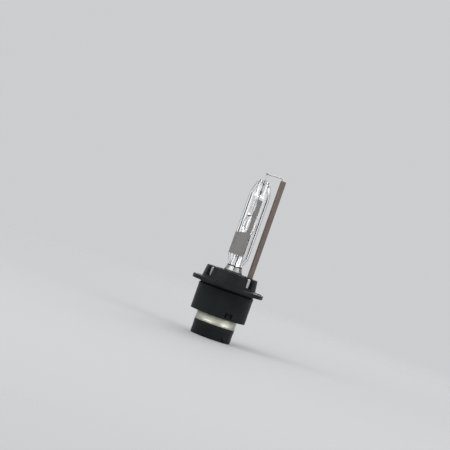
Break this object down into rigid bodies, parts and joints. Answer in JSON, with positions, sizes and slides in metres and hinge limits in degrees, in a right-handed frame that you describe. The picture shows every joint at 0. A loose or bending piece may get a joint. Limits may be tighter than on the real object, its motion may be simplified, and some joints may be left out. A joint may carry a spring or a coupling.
{
  "type": "headlight bulb",
  "caption": "Gas-discharge headlight bulb: quartz burner in a shielded jacket, ceramic-sleeved return lead, flanged plastic base with a ring contact.",
  "frame": {"origin": "on the bulb's axis at the rim of the connector socket, the end that it can stand on; the seating plane of the flange is 24.8 mm above it", "axes": "+Z along the bulb's axis from the connector to the glass; +X towards the return lead"},
  "size_m": [0.032, 0.032, 0.076],
  "materials": {
    "quartz": "clear fused quartz, polished",
    "coating": "baked matt grey coating, dark on its inner side",
    "tungsten": "dull grey tungsten",
    "molybdenum": "satin molybdenum",
    "nickel": "drawn nickel wire",
    "ceramic": "unglazed grey-brown ceramic",
    "steel": "bright stamped stainless steel",
    "black_plastic": "fine-textured black moulded plastic",
    "contact": "satin nickel-plated contact metal",
    "silicone": "cast silicone"
  },
  "bodies": {
    "root": {"outer_envelope": "quartz", "light_shield_coating": "coating", "arc_tube": "quartz", "upper_electrode": "tungsten", "lower_electrode": "tungsten", "upper_foil": "molybdenum", "lower_foil": "molybdenum", "upper_lead_in": "molybdenum", "lower_lead_in": "molybdenum", "return_lead": "nickel", "ceramic_sleeve": "ceramic", "tip_weld_band": "nickel", "burner_clamp": "steel", "mounting_ring": "steel", "base_crown": "black_plastic", "base_body": "black_plastic", "connector_socket": "black_plastic", "contact_ring": "contact", "contact_pin": "contact", "hv_insulator": "silicone", "potting_compound": "silicone"}
  },
  "joints": []
}
